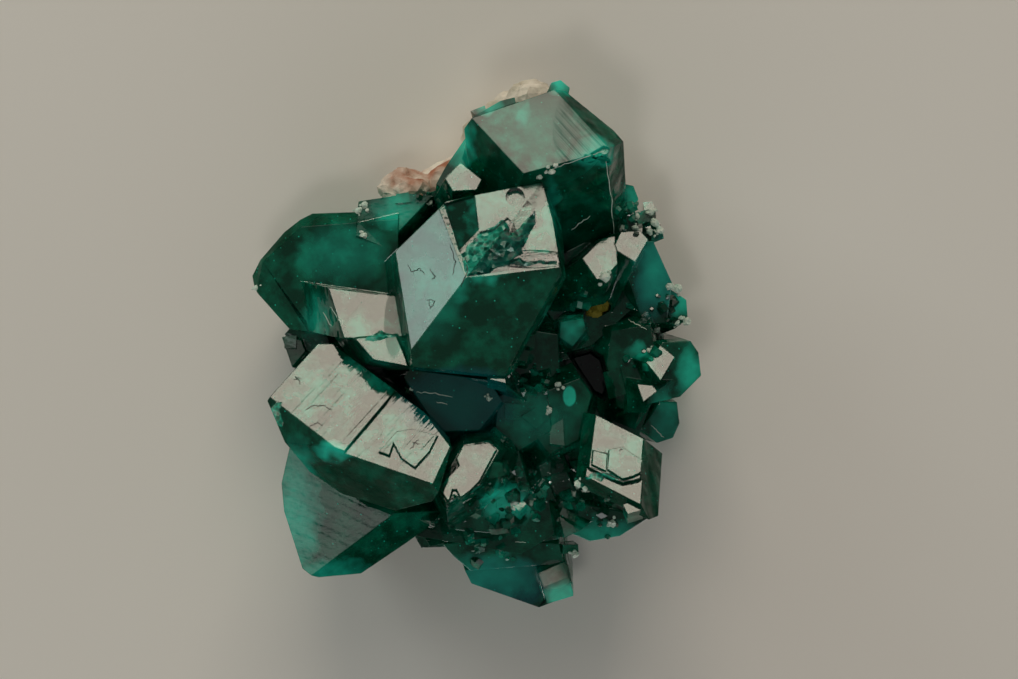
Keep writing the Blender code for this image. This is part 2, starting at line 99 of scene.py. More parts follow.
def streaks(tree, place, angle, spacing, length):
    """Noise drawn out along an angle in plan: about one streak every spacing mm, length mm long."""
    turned = add(tree, "ShaderNodeMapping", {"Vector": place, "Rotation": (0, 0, math.radians(angle)),
                                             "Scale": (length * MM, spacing * MM, length * MM)},
                 vector_type="TEXTURE")
    return add(tree, "ShaderNodeTexNoise", {"Vector": turned.outputs[0], "Scale": 1.0,
                                            "Detail": 1.0}).outputs["Fac"]


def within(tree, place, corners, soft):
    """1 inside a convex outline in plan, its corners anticlockwise in mm, fading over soft mm.

    It is the least distance inside any edge, measured square to that edge, over soft.
    """
    depths = []
    for (x, y), (u, v) in zip(corners, corners[1:] + corners[:1]):
        run = math.hypot(u - x, v - y)
        inward = ((y - v) / run, (u - x) / run, 0)
        along = add(tree, "ShaderNodeVectorMath", {0: place, 1: inward},
                    operation="DOT_PRODUCT").outputs["Value"]
        depths.append(add(tree, "ShaderNodeMath", {0: along, 1: (x * inward[0] + y * inward[1]) * MM},
                          operation="SUBTRACT").outputs[0])
    return add(tree, "ShaderNodeMapRange", {"Value": joined(tree, "MINIMUM", *depths), "From Min": 0.0,
                                            "From Max": soft * MM}).outputs["Result"]


# Ovals in plan, as zones takes them: where the body is cloudy with healed fractures, lets less light through
# and has a painted turquoise glow, the end of one small crystal with a painted glow, chipped edges, and parts
# that are more blue than green
PAINTED_GLOWS = ((0.7, 17.9, 1.3, 0.8, 0.9), (5.5, 10.0, 0.7, 3.4, 0.5), (-1.3, 15.0, 1.2, 2.4, 0.9),
         (4.6, 16.2, 3.6, 3.0, 0.3), (3.6, 17.2, 0.7, 1.4, 0.7), (8.7, 14.4, 1.9, 1.4, 0.8),
         (-3.4, 4.6, 2.6, 5.0, 0.35), (-1.6, 5.0, 1.2, 2.4, 0.5), (0.4, 5.8, 2.2, 1.4, 0.8),
         (-10.2, 6.8, 4.0, 2.6, 0.45), (-6.2, 10.1, 2.6, 1.8, 0.7), (0.3, 9.9, 0.9, 1.6, 0.5),
         (-12.0, 2.0, 1.3, 2.3, 0.6), (-6.9, -0.6, 1.9, 1.2, 0.35), (-10.7, -7.8, 1.9, 1.1, 1.0),
         (-13.6, -12.4, 2.0, 6.0, 0.8), (-11.1, -17.2, 4.2, 1.2, 0.6), (1.0, -17.4, 4.4, 2.0, 0.6),
         (6.3, -18.6, 1.6, 1.1, 1.2), (9.6, -14.2, 4.0, 1.2, 0.6), (13.3, 5.4, 1.9, 3.6, 0.6),
         (15.3, 3.4, 1.4, 1.8, 0.9), (6.9, 1.2, 1.4, 1.5, 0.8), (15.9, -1.9, 1.3, 2.4, 0.8),
         (14.0, -5.3, 1.4, 2.6, 0.7), (12.1, -0.5, 1.0, 0.8, 0.8), (11.9, 11.2, 1.3, 1.4, 0.8),
         (2.2, -12.0, 2.2, 2.0, 1.1), (4.4, -5.6, 4.0, 2.4, 0.35), (-1.8, -4.4, 4.6, 2.8, 0.2),
         (6.3, 19.5, 1.2, 1.1, 1.0))
PAINTED_GLOW_END = ((6.86, -3.85, 0.55, 0.85, 1.0),)
BROKEN = ((-15.1, -5.2, 0.6, 1.0, 0.6), (8.9, 14.0, 1.0, 0.5, 0.8), (9.3, -9.9, 1.2, 0.4, 0.7),
          (-7.4, 0.6, 1.3, 0.35, 0.7))
TEAL = ((-1.6, -4.2, 5.0, 3.0, 1.0), (2.0, -18.0, 4.2, 2.2, 0.8), (13.4, 5.0, 2.0, 3.4, 0.8))
# Outlines in plan on the centre crystal: its hackly breaks, and a facet that looks away
BREAKS = (((-1.35, 6.8), (-0.8, 5.0), (0.8, 5.2), (3.4, 6.8), (2.0, 9.5), (0.1, 8.5)),
          ((2.5, 8.3), (2.9, 6.85), (3.3, 7.0), (4.35, 9.0), (4.3, 10.15)),
          ((1.4, 5.8), (6.0, 6.0), (6.0, 6.2), (2.2, 6.5)))
DARK_FACET = ((-2.6, 10.6), (-1.4, 7.0), (0.1, 8.6), (-0.2, 11.2))
# Faces that stayed smooth and shine as one: that round the breaks, and two small facets
SMOOTH = (((-0.25, 11.3), (-0.05, 8.6), (0.5, 5.1), (6.1, 5.8), (4.8, 12.1)),
          ((-6.9, 1.1), (-5.35, -1.4), (-6.0, 3.6), (-7.55, 4.0)),
          ((4.95, -18.2), (6.75, -17.5), (6.35, -16.4), (4.6, -17.2)))
FACE_FADE = 0.04
BREAK_FADE = 0.12
WANDER = 1.6
# The way in which the faces that mirror the key light lean: azimuth and tilt in degrees
SHINING = (94, 28.5)
DIOPTASE_IOR = 1.66

# Scales count patterns per metre. 900 gives a swell each millimetre, 2900 a chip each third of one
dioptase = bpy.data.materials.new("glassy_dioptase")
dioptase.use_nodes = True
tree = dioptase.node_tree
tree.nodes.clear()
place = add(tree, "ShaderNodeTexCoord").outputs["Object"]
wander = add(tree, "ShaderNodeTexNoise", {"Vector": place, "Scale": 900.0, "Detail": 1.0}).outputs["Color"]
moved = add(tree, "ShaderNodeVectorMath", {0: wander, 1: (0.5, 0.5, 0.5)}, operation="SUBTRACT").outputs[0]
moved = add(tree, "ShaderNodeVectorMath", {0: moved, 1: (WANDER * MM,) * 3, 2: place},
            operation="MULTIPLY_ADD").outputs[0]
# Painted glow: zones where the body's colour turns turquoise and less light goes through, as if lit from
# within
painted_glow_zones = joined(tree, "MAXIMUM", zones(tree, moved, PAINTED_GLOWS, 1.0), zones(tree, place, PAINTED_GLOW_END, 0.4))
frayed = add(tree, "ShaderNodeMix", {"Factor": 0.35, 4: place, 5: moved}, data_type="VECTOR").outputs[1]
broken = joined(tree, "MAXIMUM", zones(tree, moved, BROKEN, 0.3),
                *[within(tree, frayed, corners, BREAK_FADE) for corners in BREAKS])
outward = add(tree, "ShaderNodeNewGeometry").outputs["True Normal"]
upward = add(tree, "ShaderNodeSeparateXYZ", {0: outward}).outputs[2]
upward = add(tree, "ShaderNodeMapRange", {"Value": upward, "From Min": 0.3,
                                          "From Max": 0.35}).outputs["Result"]
smooth = joined(tree, "MAXIMUM", *[within(tree, place, corners, FACE_FADE) for corners in SMOOTH])
smooth = joined(tree, "MULTIPLY", smooth, upward)


# Other faces are told apart by the way they lean: those that shine, and the large one at lower left
def leaning(azimuth, tilt, least):
    """1 on faces whose direction has a cosine of at least least with this one, else 0."""
    along = add(tree, "ShaderNodeVectorMath", {0: outward, 1: facing(azimuth, tilt)},
                operation="DOT_PRODUCT").outputs["Value"]
    return add(tree, "ShaderNodeMapRange", {"Value": along, "From Min": least - 0.002,
                                            "From Max": least}).outputs[0]


bright = joined(tree, "MAXIMUM", leaning(*SHINING, 0.990), smooth)

# Growth marks: fine streaks along the crystals' edges, each in its oval, and fine etching all over
top_streaks = joined(tree, "MULTIPLY", streaks(tree, place, -47.6, 0.22, 12.0), bright, 4.0,
                     zones(tree, place, ((8.0, 16.0, 2.4, 3.6, 1.0),), 0.5))
left_streaks = joined(tree, "MULTIPLY", streaks(tree, place, 48, 0.2, 7.0), bright, 1.6,
                      zones(tree, place, ((-9.0, -5.5, 7.0, 5.0, 1.0),), 0.3))
front_streaks = joined(tree, "MULTIPLY", streaks(tree, place, 6, 0.16, 12.0), bright, 1.8,
                       zones(tree, place, ((4.0, 6.4, 3.0, 0.7, 1.0),), 0.3))
low_streaks = joined(tree, "MULTIPLY", streaks(tree, place, -25, 0.5, 9.0), leaning(150, 20, 0.998), 0.8)
etch = add(tree, "ShaderNodeTexNoise", {"Vector": place, "Scale": 2600.0, "Detail": 2.0}).outputs["Fac"]

# Each chip of a hackly break faces its own way, about straight up, while a smooth face is one plane
cells = add(tree, "ShaderNodeTexVoronoi", {"Vector": frayed, "Scale": 2900.0}, feature="F1")
chips = cells.outputs["Distance"]
tilts = add(tree, "ShaderNodeVectorMath", {0: cells.outputs["Color"], 1: (0.5, 0.42, 0.5)},
            operation="SUBTRACT").outputs[0]
tilts = add(tree, "ShaderNodeVectorMath", {0: tilts, 1: (1.2, 1.2, 1.2), 2: facing(94, 8)},
            operation="MULTIPLY_ADD").outputs[0]
leans = add(tree, "ShaderNodeMix", {"Factor": smooth, 4: outward, 5: facing(*SHINING)},
            data_type="VECTOR").outputs[1]
hackly = add(tree, "ShaderNodeMix", {"Factor": broken, 4: leans, 5: tilts}, data_type="VECTOR").outputs[1]
dark_facet = within(tree, place, DARK_FACET, FACE_FADE)
hackly = add(tree, "ShaderNodeMix", {"Factor": dark_facet, 4: hackly, 5: facing(80, 8)},
             data_type="VECTOR").outputs[1]
hackly = add(tree, "ShaderNodeVectorMath", {0: hackly}, operation="NORMALIZE").outputs[0]

# The steep sides of the crystals grew unevenly, in low hillocks about 2 mm across
upright = add(tree, "ShaderNodeSeparateXYZ", {0: leans}).outputs[2]
upright = add(tree, "ShaderNodeMath", {0: upright}, operation="ABSOLUTE").outputs[0]
steep = add(tree, "ShaderNodeMapRange", {"Value": upright, "From Min": 0.72,
                                         "From Max": 0.5}).outputs["Result"]
hillocks = add(tree, "ShaderNodeTexNoise", {"Vector": place, "Scale": 480.0, "Detail": 1.5}).outputs["Fac"]
height = joined(tree, "ADD", top_streaks, left_streaks, front_streaks, low_streaks,
                joined(tree, "MULTIPLY", etch, 0.5), joined(tree, "MULTIPLY", hillocks, steep, 25.0))
marks = add(tree, "ShaderNodeBump", {"Height": height, "Strength": 1.0, "Distance": 0.02 * MM,
                                     "Normal": hackly}).outputs["Normal"]

# The body is deep green, lighter in clouds 2 mm across and in specks of dust; a painted turquoise glow
# lightens it in the glow zones, and a painted sheen on the faces that shine
cloud = add(tree, "ShaderNodeTexNoise", {"Vector": place, "Scale": 430.0, "Detail": 4.0,
                                         "Roughness": 0.62}).outputs["Fac"]
cloudy = add(tree, "ShaderNodeMapRange", {"Value": cloud, "From Min": 0.44,
                                          "From Max": 0.68}).outputs["Result"]
dust = add(tree, "ShaderNodeTexVoronoi", {"Vector": place, "Scale": 2300.0}, feature="F1")
specks = add(tree, "ShaderNodeMapRange", {"Value": dust.outputs["Distance"], "From Min": 0.17,
                                          "From Max": 0.08}).outputs["Result"]
chosen = add(tree, "ShaderNodeSeparateColor", {0: dust.outputs["Color"]}).outputs[0]
chosen = add(tree, "ShaderNodeMapRange", {"Value": chosen, "From Min": 0.4,
                                          "From Max": 0.8}).outputs["Result"]
painted_glow_sheen_and_dust = joined(tree, "MULTIPLY", painted_glow_zones, joined(tree, "ADD", 0.35, cloud))
# Painted sheen: the faces that mirror the key light (bright) get a lighter, turquoise body colour
painted_glow_sheen_and_dust = joined(tree, "MAXIMUM", painted_glow_sheen_and_dust, joined(tree, "MULTIPLY", specks, chosen, 0.7),
                 joined(tree, "MULTIPLY", bright, cloudy, 0.4))
deep = add(tree, "ShaderNodeMix", {"Factor": cloudy, 6: linear("#00553c"), 7: linear("#0a9a76")},
           data_type="RGBA").outputs[2]
deep = add(tree, "ShaderNodeMix", {"Factor": zones(tree, moved, TEAL, 0.5), 6: deep, 7: linear("#0b6e70")},
           data_type="RGBA").outputs[2]
body = add(tree, "ShaderNodeMix", {"Factor": painted_glow_sheen_and_dust, 6: deep, 7: linear("#2fefcf")},
           data_type="RGBA").outputs[2]
# Painted glow: the rims of the chips in a break are coloured light turquoise
body = add(tree, "ShaderNodeMix", {"Factor": joined(tree, "MULTIPLY", broken, chips, chips, 2.2), 6: body,
                                   7: linear("#2ce0bb")}, data_type="RGBA").outputs[2]
# Less light goes through where the glow is painted and where the body is broken
haze_and_painted_glow = joined(tree, "MAXIMUM", painted_glow_sheen_and_dust, joined(tree, "MULTIPLY", broken, 0.4))
clear = add(tree, "ShaderNodeMapRange", {"Value": haze_and_painted_glow, "To Min": 0.62, "To Max": 0.12}).outputs["Result"]
# The top crystal's large face and the two small facets are a little dull from fine etching
DULL = ((4.6, 16.2, 6.0, 5.0, 1.0), (-6.3, 1.6, 0.8, 2.8, 1.0), (5.7, -17.3, 1.5, 1.2, 1.0))
etched = joined(tree, "MAXIMUM", broken, zones(tree, place, DULL, 0.3))
rough = add(tree, "ShaderNodeMapRange", {"Value": etched, "To Min": 0.05, "To Max": 0.34}).outputs["Result"]
surface = add(tree, "ShaderNodeBsdfPrincipled", {"Base Color": body, "Roughness": rough, "IOR": DIOPTASE_IOR,
                                                 "Transmission Weight": clear, "Normal": marks})
absorbing = add(tree, "ShaderNodeVolumeAbsorption", {"Color": linear("#35c9a8"), "Density": 230.0})
add(tree, "ShaderNodeOutputMaterial", {"Surface": surface.outputs[0], "Volume": absorbing.outputs[0]})

# The steep sides get a copy of the material for painted shade: it mirrors less, and what it mirrors is tinted
# dark green
shaded_side = dioptase.copy()
shaded_side.name = "shaded_dioptase"
shine = shaded_side.node_tree.nodes[surface.name].inputs
shine["Specular Tint"].default_value = linear("#0c4a38")
shine["Specular IOR Level"].default_value = 0.1
shine["IOR"].default_value = 1.35

# The edges are sharp, but worn by a few hundredths of a millimetre, so that they catch the light
EDGE_WEAR = 0.06
SAME_FACE = math.radians(0.6)
SHARP_EDGE = math.radians(18)
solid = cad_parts["dioptase_crystals"]
shape = bmesh.new()
shape.from_mesh(solid.data)
bmesh.ops.remove_doubles(shape, verts=shape.verts, dist=0.001 * MM)
bmesh.ops.dissolve_limit(shape, angle_limit=SAME_FACE, verts=shape.verts, edges=shape.edges)
worn = [float(edge.calc_face_angle(0) > SHARP_EDGE and min(end.co.z for end in edge.verts) > EDGE_WEAR * MM)
        for edge in shape.edges]
mesh = bpy.data.meshes.new("crystals")
shape.to_mesh(mesh)
shape.free()
mesh.attributes.new("bevel_weight_edge", "FLOAT", "EDGE").data.foreach_set("value", worn)
mesh.materials.clear()
mesh.materials.append(dioptase)
mesh.materials.append(shaded_side)
STEEP = math.cos(math.radians(40))


def inside(spot, corners):
    """Whether a spot lies left of each edge of an outline whose corners run anticlockwise in mm."""
    x, y = spot[0] / MM, spot[1] / MM
    return all((c - a) * (y - b) > (d - b) * (x - a)
               for (a, b), (c, d) in zip(corners, corners[1:] + corners[:1]))


# Painted shade: the steep faces, but not those round the breaks of the centre crystal, take the shaded copy
mesh.polygons.foreach_set("material_index", [int(side.normal.z < STEEP and not inside(side.center, SMOOTH[0]))
                                             for side in mesh.polygons])
crystals = bpy.data.objects.new("crystals", mesh)
bpy.context.scene.collection.objects.link(crystals)
wear = crystals.modifiers.new("worn_edges", "BEVEL")
wear.limit_method = "WEIGHT"
wear.width = EDGE_WEAR * MM
wear.segments = 2
wear.use_clamp_overlap = False
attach(crystals, "root")
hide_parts("dioptase_crystals")

# Middle crystals of the same mineral, a millimetre or two across, between the large ones. They are
# glassy too. Each is known by the face that it shows, so it is a block behind that face.
flat = np.array([[solid.data.vertices[i].co for i in side.vertices] for side in solid.data.polygons])


def top_of(x, y):
    """Height of the crystals above plan points, from where a point lies in each side's triangle."""
    a, b, c = flat[:, 0], flat[:, 1] - flat[:, 0], flat[:, 2] - flat[:, 0]
    spread = b[:, 0] * c[:, 1] - b[:, 1] * c[:, 0]
    spread = np.where(abs(spread) < 1e-14, 1e-14, spread)
    dx, dy = x[:, None] - a[:, 0], y[:, None] - a[:, 1]
    p = (dx * c[:, 1] - dy * c[:, 0]) / spread
    q = (b[:, 0] * dy - b[:, 1] * dx) / spread
    over = (p >= 0) & (q >= 0) & (p + q <= 1)
    return np.where(over, a[:, 2] + p * b[:, 2] + q * c[:, 2], 0.0).max(axis=1)


def make(name, points, sides, surface):
    """Make a finished piece from its points in metres and its sides, turned to face outwards."""
    mesh = bpy.data.meshes.new(name)
    mesh.from_pydata(points.reshape(-1, 3).tolist(), [], sides)
    mesh.update()
    shape = bmesh.new()
    shape.from_mesh(mesh)
    bmesh.ops.recalc_face_normals(shape, faces=shape.faces)
    shape.to_mesh(mesh)
    shape.free()
    mesh.materials.append(surface)
    thing = bpy.data.objects.new(name, mesh)
    bpy.context.scene.collection.objects.link(thing)
    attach(thing, "root")


# The shown faces: middle in plan, height where nothing is under it and else 0, half sizes, turn,
# and the azimuth and tilt of the way the face leans, in mm and degrees
SHOWN = ((3.3, -0.7, 0, 0.7, 0.5, 0, 45, 16), (3.9, 0.4, 0, 0.5, 0.7, 0, 20, 18),
         (1.4, -2.4, 0, 0.8, 0.35, -10, 92, 27), (4.3, -2.2, 0, 0.4, 0.6, 20, 92, 27),
         (3.9, -3.3, 0, 0.7, 0.3, -15, 92, 25), (5.9, -6.3, 0, 0.7, 1.5, 0, 100, 20),
         (1.5, -6.8, 0, 0.8, 0.45, -40, 130, 26), (4.0, -8.3, 0, 0.6, 0.3, 0, 95, 20),
         (2.3, -10.2, 0, 0.7, 0.8, 30, 160, 20), (-0.7, -13.9, 0, 0.4, 0.35, 20, 92, 27),
         (0.0, -14.8, 0, 0.45, 0.25, 20, 92, 27), (2.9, -13.9, 0, 0.5, 0.3, 15, 92, 24),
         (1.7, -15.1, 0, 0.35, 0.25, 30, 95, 20), (6.6, -12.9, 0, 0.9, 0.6, -20, 80, 22),
         (11.7, -12.1, 0, 0.8, 0.55, 25, 92, 28), (-3.6, -12.8, 0, 0.8, 0.5, -10, 95, 20),
         (4.7, -11.2, 0, 1.1, 1.0, 20, 200, 16), (-0.6, -11.6, 0, 1.0, 0.8, 30, 150, 12),
         (1.0, -9.4, 0, 1.0, 0.8, 10, 200, 14), (3.4, -12.7, 0, 1.0, 1.0, 50, 300, 14),
         (4.4, -5.2, 0, 1.1, 0.9, 30, 30, 12), (2.6, -4.9, 0, 0.9, 0.7, 0, 330, 10),
         (8.9, -12.9, 0, 1.0, 0.5, -30, 270, 22), (11.5, 2.9, 0, 0.5, 0.25, -15, 92, 27),
         (2.0, -11.8, 0, 0.6, 0.5, 10, 30, 12), (3.0, -12.0, 0, 0.5, 0.6, 40, 92, 24),
         (1.1, -12.9, 0, 0.6, 0.5, 70, 140, 24), (6.2, -9.0, 0, 0.8, 0.7, 15, 60, 14),
         (12.4, 1.7, 0, 0.8, 0.6, 50, 150, 18), (10.2, -2.9, 0, 1.0, 1.1, 20, 200, 20),
         (11.8, -4.6, 0, 0.9, 0.7, 0, 250, 22), (12.5, 9.7, 7.6, 0.7, 0.6, 20, 60, 16),
         (13.1, 9.1, 7.3, 0.7, 0.6, 60, 92, 24), (13.4, 8.4, 7.2, 0.6, 0.7, 0, 10, 20),
         (12.8, 10.4, 7.3, 0.5, 0.4, 10, 92, 27), (6.95, -15.4, 7.45, 0.65, 0.5, 10, 330, 18),
         (0.2, 17.6, 12.2, 0.7, 0.35, 20, 110, 30), (-5.6, 11.0, 0, 0.7, 0.45, 10, 110, 16),
         (-14.2, 0.2, 0, 0.6, 0.6, 0, 140, 20))
BLOCK_DEPTH = 1.5
BLOCK_STEP = 0.12
WIDENING = 1.06

jitter = np.random.default_rng(11)
x, y, height, wide, high, turn, azimuth, tilt = np.array(SHOWN, float).T
up = np.array([facing(a, t) for a, t in zip(azimuth, tilt)])
across = np.cross(np.stack([-np.sin(np.radians(turn)), np.cos(np.radians(turn)), 0 * turn], axis=1), up)
across /= np.linalg.norm(across, axis=1)[:, None]
over = np.cross(up, across)
# Each face has an uneven ring of four corners, and the block ends in the same ring at its depth
angle = (np.arange(4) + 0.5) * math.pi / 2 + jitter.uniform(-0.35, 0.35, (len(x), 4))
reach = jitter.uniform(0.95, 1.35, (len(x), 4))
rim = ((wide[:, None] * np.cos(angle) * reach)[..., None] * across[:, None]
       + (high[:, None] * np.sin(angle) * reach)[..., None] * over[:, None])
under = top_of(x * MM, y * MM) / MM
middle = np.stack([x, y, np.where(height > 0, height, under + BLOCK_STEP)], axis=1)[:, None]
blocks = np.concatenate([middle + rim, middle + WIDENING * rim - BLOCK_DEPTH * up[:, None]], axis=1) * MM
BLOCK = [(0, 1, 2, 3), (7, 6, 5, 4)] + [(i, 4 + i, 4 + (i + 1) % 4, (i + 1) % 4) for i in range(4)]
make("middle_crystals", blocks, [[k * 8 + corner for corner in face] for k in range(len(blocks))
                                 for face in BLOCK], dioptase)

# The last growth layer on the face round the breaks of the centre crystal: a thin plate of dioptase
# in the plane of that face, which three spots on it give, with the break's ragged edge on its left.
PLATE = ((3.7, 6.95), (6.0, 6.75), (5.55, 9.4), (4.9, 11.8), (4.3, 10.15), (4.5, 8.7), (4.0, 8.6),
         (3.8, 8.07), (3.45, 7.8))
PLATE_STEP = 0.06
PLATE_DEPTH = 0.5
ON_FACE = ((0.6, 10.0), (4.6, 11.5), (3.5, 5.45))
spots = np.array(ON_FACE) * MM
plane = np.linalg.solve(np.column_stack([spots, np.ones(3)]), top_of(*spots.T))
corners = np.array(PLATE) * MM
upper = np.column_stack([corners, corners @ plane[:2] + plane[2] + PLATE_STEP * MM])
n = len(PLATE)
sides = [tuple(range(n)), tuple(range(n, 2 * n))[::-1]]
sides += [(i, n + i, n + (i + 1) % n, (i + 1) % n) for i in range(n)]
make("growth_plate", np.concatenate([upper, upper - [0, 0, PLATE_DEPTH * MM]]), sides, dioptase)

# Small crystals of the same mineral that line the gaps: stubby six-sided prisms with a point at each
# end, a fraction of a millimetre across. They grew there loosely, and are too thin to be dark.
thin_dioptase = bpy.data.materials.new("thin_dioptase")
thin_dioptase.use_nodes = True
tree = thin_dioptase.node_tree
tree.nodes.clear()
place = add(tree, "ShaderNodeTexCoord").outputs["Object"]
shade = add(tree, "ShaderNodeTexNoise", {"Vector": place, "Scale": 420.0, "Detail": 3.0}).outputs["Fac"]
shade = add(tree, "ShaderNodeMapRange", {"Value": shade, "From Min": 0.4,
                                         "From Max": 0.66}).outputs["Result"]
thin = add(tree, "ShaderNodeMix", {"Factor": shade, 6: linear("#03452f"), 7: linear("#1ac9a2")},
           data_type="RGBA").outputs[2]
surface = add(tree, "ShaderNodeBsdfPrincipled", {"Base Color": thin, "Roughness": 0.08, "IOR": DIOPTASE_IOR,
                                                 "Transmission Weight": 0.5})
add(tree, "ShaderNodeOutputMaterial", {"Surface": surface.outputs[0]})

# Places that the small crystals fill: middle x, y, reach and how many
SPRINKLED = ((11.6, 9.4, 1.2, 14), (14.2, 2.6, 1.4, 12), (12.2, -0.8, 1.2, 6), (7.2, 3.6, 1.0, 6),
             (4.8, -2.4, 1.6, 12), (3.0, -11.4, 2.2, 26), (1.2, -14.4, 2.2, 16), (6.4, -10.6, 1.6, 12),
             (10.2, -13.9, 1.4, 8), (9.2, -12.0, 0.8, 5), (-3.9, 11.8, 0.7, 5))
# Below this height, in mm, a spot is past the edge of the large crystals, and nothing sits on it
EDGE_HEIGHT = 3
# Each body has two zigzag rings of six corners, then the two points: zigzag and points are shares of
# its radius, and so is the depth to which it stands in the crystal under it
ZIGZAG = 0.28
POINT = 0.85
SUNK = 0.15
chance = np.random.default_rng(7)
where = np.concatenate([np.array([[x, y]] * count) + reach * chance.uniform(-1, 1, (count, 2))
                        for x, y, reach, count in SPRINKLED]) * MM
count = len(where)
size = (0.15 + 0.4 * chance.uniform(0, 1, count) ** 2) * MM
tall = size * chance.uniform(0.35, 1.0, count)
turn = np.arange(6) * math.pi / 3
up_down = np.where(np.arange(6) % 2 == 0, ZIGZAG, -ZIGZAG)
ring = np.stack([np.cos(turn), np.sin(turn), np.zeros(6)], axis=1)
bodies = np.concatenate([ring, ring, np.zeros((2, 3))])[None] * size[:, None, None]
bodies[:, :6, 2] = -tall[:, None] + up_down * size[:, None]
bodies[:, 6:12, 2] = tall[:, None] + up_down * size[:, None]
bodies[:, 12, 2] = -tall - POINT * size
bodies[:, 13, 2] = tall + POINT * size
# Their axes point every way, but more of them up and towards the top of the photograph
axis = chance.normal(size=(count, 3)) * [0.5, 0.5, 0.3] + [0, 0.3, 0.8]
axis /= np.linalg.norm(axis, axis=1)[:, None]
side = np.cross(axis, chance.normal(size=(count, 3)))
side /= np.linalg.norm(side, axis=1)[:, None]
turned = np.stack([side, np.cross(axis, side), axis], axis=1)
foot = np.stack([where[:, 0], where[:, 1], top_of(where[:, 0], where[:, 1]) - SUNK * size], axis=1)
points = (bodies @ turned + foot[:, None])[foot[:, 2] > EDGE_HEIGHT * MM]
walls = [(i, (i + 1) % 6, 6 + (i + 1) % 6, 6 + i) for i in range(6)]
ends = [((i + 1) % 6, i, 12) for i in range(6)] + [(6 + i, 6 + (i + 1) % 6, 13) for i in range(6)]
make("small_crystals", points, [[k * 14 + corner for corner in face] for k in range(len(points))
                                for face in walls + ends], thin_dioptase)

# Grains of white calcite that cling to the crystals, sugary and rounded, about half a millimetre
# across, each with three crumbs beside it. They grew last, on the finished faces.
GRAINS = ((-8.5, 10.5, 0.26), (-9.0, 10.1, 0.24), (-8.5, 8.2, 0.22), (-16.7, 4.3, 0.24), (12.0, 9.7, 0.22),
          (13.0, 10.0, 0.24), (13.3, 9.2, 0.32), (13.7, 8.6, 0.3), (11.8, 8.8, 0.24), (12.9, 8.5, 0.26),
          (10.8, 8.8, 0.24), (9.5, 5.1, 0.36), (13.4, 1.2, 0.3), (13.7, 0.8, 0.34), (14.9, 1.7, 0.26),
          (15.7, 1.8, 0.3), (14.4, 4.4, 0.3), (15.0, 4.3, 0.34), (7.5, -10.4, 0.3), (8.0, -10.7, 0.24),
          (7.1, -11.2, 0.3), (2.8, -11.8, 0.22), (2.7, -12.2, 0.24), (4.0, -11.9, 0.22), (10.1, -13.4, 0.32),
          (7.3, -15.8, 0.26), (-3.6, 10.7, 0.22), (5.5, 13.0, 0.3), (-5.2, -3.5, 0.26), (12.9, -0.4, 0.22),
          (5.3, -4.9, 0.24), (6.0, -3.0, 0.24), (0.8, -4.0, 0.2), (4.6, 12.6, 0.2))
CRUMBS = 3
CRUMB_REACH = 1.6
# Past the edge of the large crystals the grains sit on middle crystals, about this high, in mm
HANGING = 7.6
# The points round and down each uneven ball, how uneven it is, and its height as a share of its width
AROUND, DOWN = 9, 6
UNEVEN = 0.34
FLATTENED = 0.8

sugary_calcite_and_glints = bpy.data.materials.new("sugary_calcite_and_glints")
sugary_calcite_and_glints.use_nodes = True
tree = sugary_calcite_and_glints.node_tree
tree.nodes.clear()
place = add(tree, "ShaderNodeTexCoord").outputs["Object"]
grain = add(tree, "ShaderNodeTexNoise", {"Vector": place, "Scale": 2500.0, "Detail": 3.0}).outputs["Fac"]
pale = add(tree, "ShaderNodeMix", {"Factor": grain, 6: linear("#8fc9b6"), 7: linear("#fbf6ea")},
           data_type="RGBA").outputs[2]
sugar = add(tree, "ShaderNodeBump", {"Height": grain, "Strength": 0.6,
                                     "Distance": 0.1 * MM}).outputs["Normal"]
surface = add(tree, "ShaderNodeBsdfPrincipled", {"Base Color": pale, "Roughness": 0.45, "Normal": sugar})
add(tree, "ShaderNodeOutputMaterial", {"Surface": surface.outputs[0]})


def lumps(name, spots, radii, surface):
    """Uneven balls: rings of points round each spot, a fifth flattened, their radii varied at random."""
    spin, fall = np.meshgrid(np.arange(AROUND) * 2 * math.pi / AROUND,
                             np.linspace(0.02, math.pi - 0.02, DOWN))
    uneven = 1 + UNEVEN * chance.uniform(-1, 1, (len(spots), DOWN, AROUND))
    uneven[:, (0, -1)] = 1.0
    radius = radii[:, None, None] * uneven
    balls = np.stack([radius * np.sin(fall) * np.cos(spin), radius * np.sin(fall) * np.sin(spin),
                      FLATTENED * radius * np.cos(fall)], axis=-1) + spots[:, None, None]
    net = [(r * AROUND + c, r * AROUND + (c + 1) % AROUND,
            (r + 1) * AROUND + (c + 1) % AROUND, (r + 1) * AROUND + c)
           for r in range(DOWN - 1) for c in range(AROUND)]
    net += [tuple(range(AROUND)), tuple(range((DOWN - 1) * AROUND, DOWN * AROUND))[::-1]]
    make(name, balls, [[k * AROUND * DOWN + corner for corner in face] for k in range(len(spots))
                       for face in net], surface)


grains = np.array(GRAINS)
crumbs = np.repeat(grains, CRUMBS, axis=0)
crumbs[:, :2] += chance.uniform(-1, 1, (len(crumbs), 2)) * CRUMB_REACH * crumbs[:, 2:]
crumbs[:, 2] *= chance.uniform(0.25, 0.6, len(crumbs))
x, y, size = np.concatenate([grains, crumbs]).T * MM
# Each sits on the crystal under it, and a crumb that has none keeps the height of its own grain
seat = top_of(x, y)
own = np.where(seat[:len(grains)] > EDGE_HEIGHT * MM, seat[:len(grains)], HANGING * MM)
seat = np.where(seat > EDGE_HEIGHT * MM, seat, np.concatenate([own, np.repeat(own, CRUMBS)]))
lumps("calcite_grains", np.stack([x, y, seat + 0.2 * size], axis=1), size, sugary_calcite_and_glints)

# Marks on the faces: growth lines and small cracks that look dark; scratched lines, and painted highlights
# along edges, that look white. Each is a strip a few hundredths of a millimetre wide that lies on its face.
LIFT = 0.012
CRACK_WIDTH = 0.07
GLINT_AND_SCRATCH_WIDTH = 0.06
# Steps from one corner of a line to the next, and how far they stray
STEPS = 6
STRAY = 0.035


